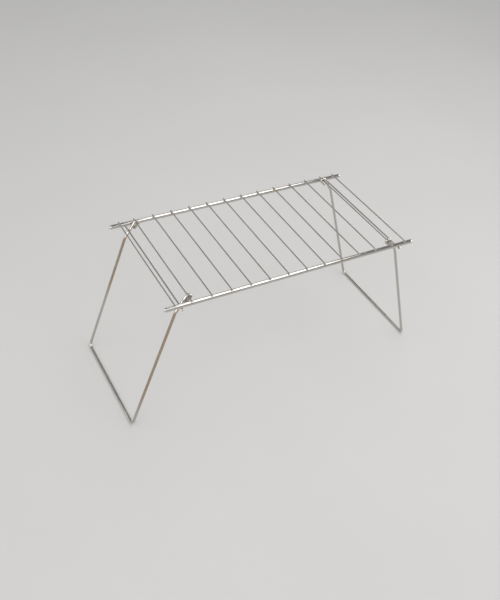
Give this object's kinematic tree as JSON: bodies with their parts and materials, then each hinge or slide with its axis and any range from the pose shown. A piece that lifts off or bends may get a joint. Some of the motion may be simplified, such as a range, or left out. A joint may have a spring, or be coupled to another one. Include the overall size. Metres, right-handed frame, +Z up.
{
  "type": "folding grill",
  "caption": "Folding camp grill: a chromed wire grate on two rails, with a U-shaped wire leg hinged at each end that folds flat underneath.",
  "frame": {"origin": "on the ground under the centre of the grate", "axes": "+X along the rails to the right, +Y across the rails to the rear, +Z up"},
  "size_m": [0.4924, 0.207, 0.2223],
  "materials": {
    "rail_chrome": "bright nickel-chrome plating on steel tube, lightly used",
    "plug_chrome": "bright nickel-chrome plating on domed ends",
    "wire_chrome": "bright nickel-chrome plating on steel wire, lightly used",
    "leg_chrome": "nickel-chrome plating on bent steel wire, softer shine",
    "weld_metal": "small plated weld beads, dull and slightly rough"
  },
  "bodies": {
    "grate": {"front_rail_tube": "rail_chrome", "rear_rail_tube": "rail_chrome", "front_rail_left_plug": "plug_chrome", "front_rail_right_plug": "plug_chrome", "rear_rail_left_plug": "plug_chrome", "rear_rail_right_plug": "plug_chrome", "grate_wire_1": "wire_chrome", "grate_wire_2": "wire_chrome", "grate_wire_3": "wire_chrome", "grate_wire_4": "wire_chrome", "grate_wire_5": "wire_chrome", "grate_wire_6": "wire_chrome", "grate_wire_7": "wire_chrome", "grate_wire_8": "wire_chrome", "grate_wire_9": "wire_chrome", "grate_wire_10": "wire_chrome", "left_hinge_wire": "wire_chrome", "right_hinge_wire": "wire_chrome", "left_end_wire": "wire_chrome", "right_end_wire": "wire_chrome", "left_stop_rod": "wire_chrome", "right_stop_rod": "wire_chrome", "front_rail_welds": "weld_metal", "rear_rail_welds": "weld_metal"},
    "left_leg_frame": {"left_leg": "leg_chrome"},
    "right_leg_frame": {"right_leg": "leg_chrome"}
  },
  "joints": [
    {"name": "right_leg_fold", "type": "hinge", "parent": "grate", "child": "right_leg_frame", "pos_m": [0.16225, 0, 0.217], "axis": [0, 1, 0], "range_deg": [0, 110]},
    {"name": "left_leg_fold", "type": "hinge", "parent": "grate", "child": "left_leg_frame", "pos_m": [-0.16225, 0, 0.217], "axis": [0, -1, 0], "range_deg": [0, 107.8]}
  ]
}
